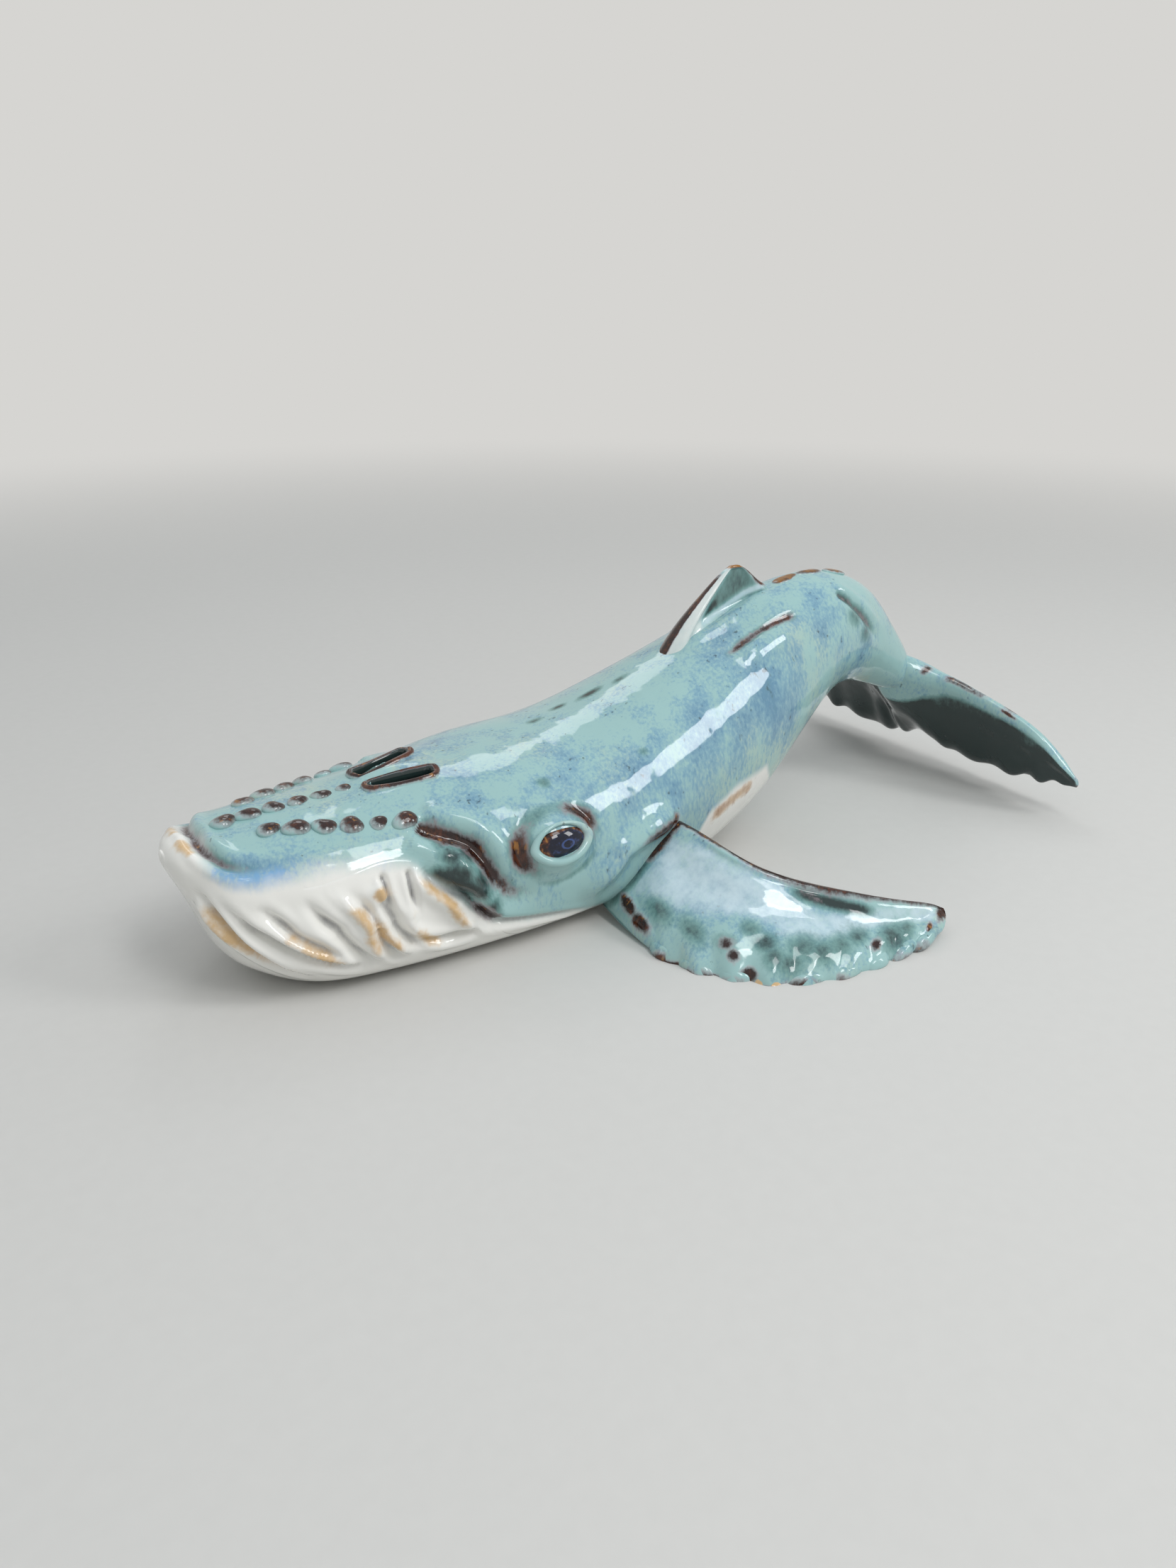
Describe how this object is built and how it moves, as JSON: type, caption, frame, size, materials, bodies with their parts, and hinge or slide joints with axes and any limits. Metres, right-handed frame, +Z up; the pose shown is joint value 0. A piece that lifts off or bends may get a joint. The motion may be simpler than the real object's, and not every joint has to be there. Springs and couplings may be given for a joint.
{
  "type": "whale figurine",
  "caption": "Hollow glazed stoneware humpback whale lying on its chin and flippers, tail arched, blue-green reactive glaze over a white pleated throat",
  "frame": {"origin": "centre of the bounding box at the level of the surface it lies on", "axes": "+X from the head to the tail, -Y towards the left flank of the whale, +Z up"},
  "size_m": [0.4256, 0.2814, 0.1305],
  "materials": {
    "blue_glaze": "glossy reactive blue-green glaze breaking brown on edges",
    "white_glaze": "glossy white glaze with ochre on the ridges",
    "iron_glaze": "glossy iron-brown glaze",
    "eye_glaze": "glossy blue-black glaze"
  },
  "bodies": {
    "root": {"back_shell": "blue_glaze", "belly_shell": "white_glaze", "dorsal_fin": "blue_glaze", "tail_fluke": "blue_glaze", "back_knuckles": "iron_glaze", "snout_knobs": "iron_glaze", "left_flipper": "blue_glaze", "left_flipper_knobs": "blue_glaze", "left_eyelid": "blue_glaze", "left_eyeball": "eye_glaze", "left_nostril_rim": "iron_glaze", "left_row_knobs": "iron_glaze", "right_flipper": "blue_glaze", "right_flipper_knobs": "blue_glaze", "right_eyelid": "blue_glaze", "right_eyeball": "eye_glaze", "right_nostril_rim": "iron_glaze", "right_row_knobs": "iron_glaze"}
  },
  "joints": []
}
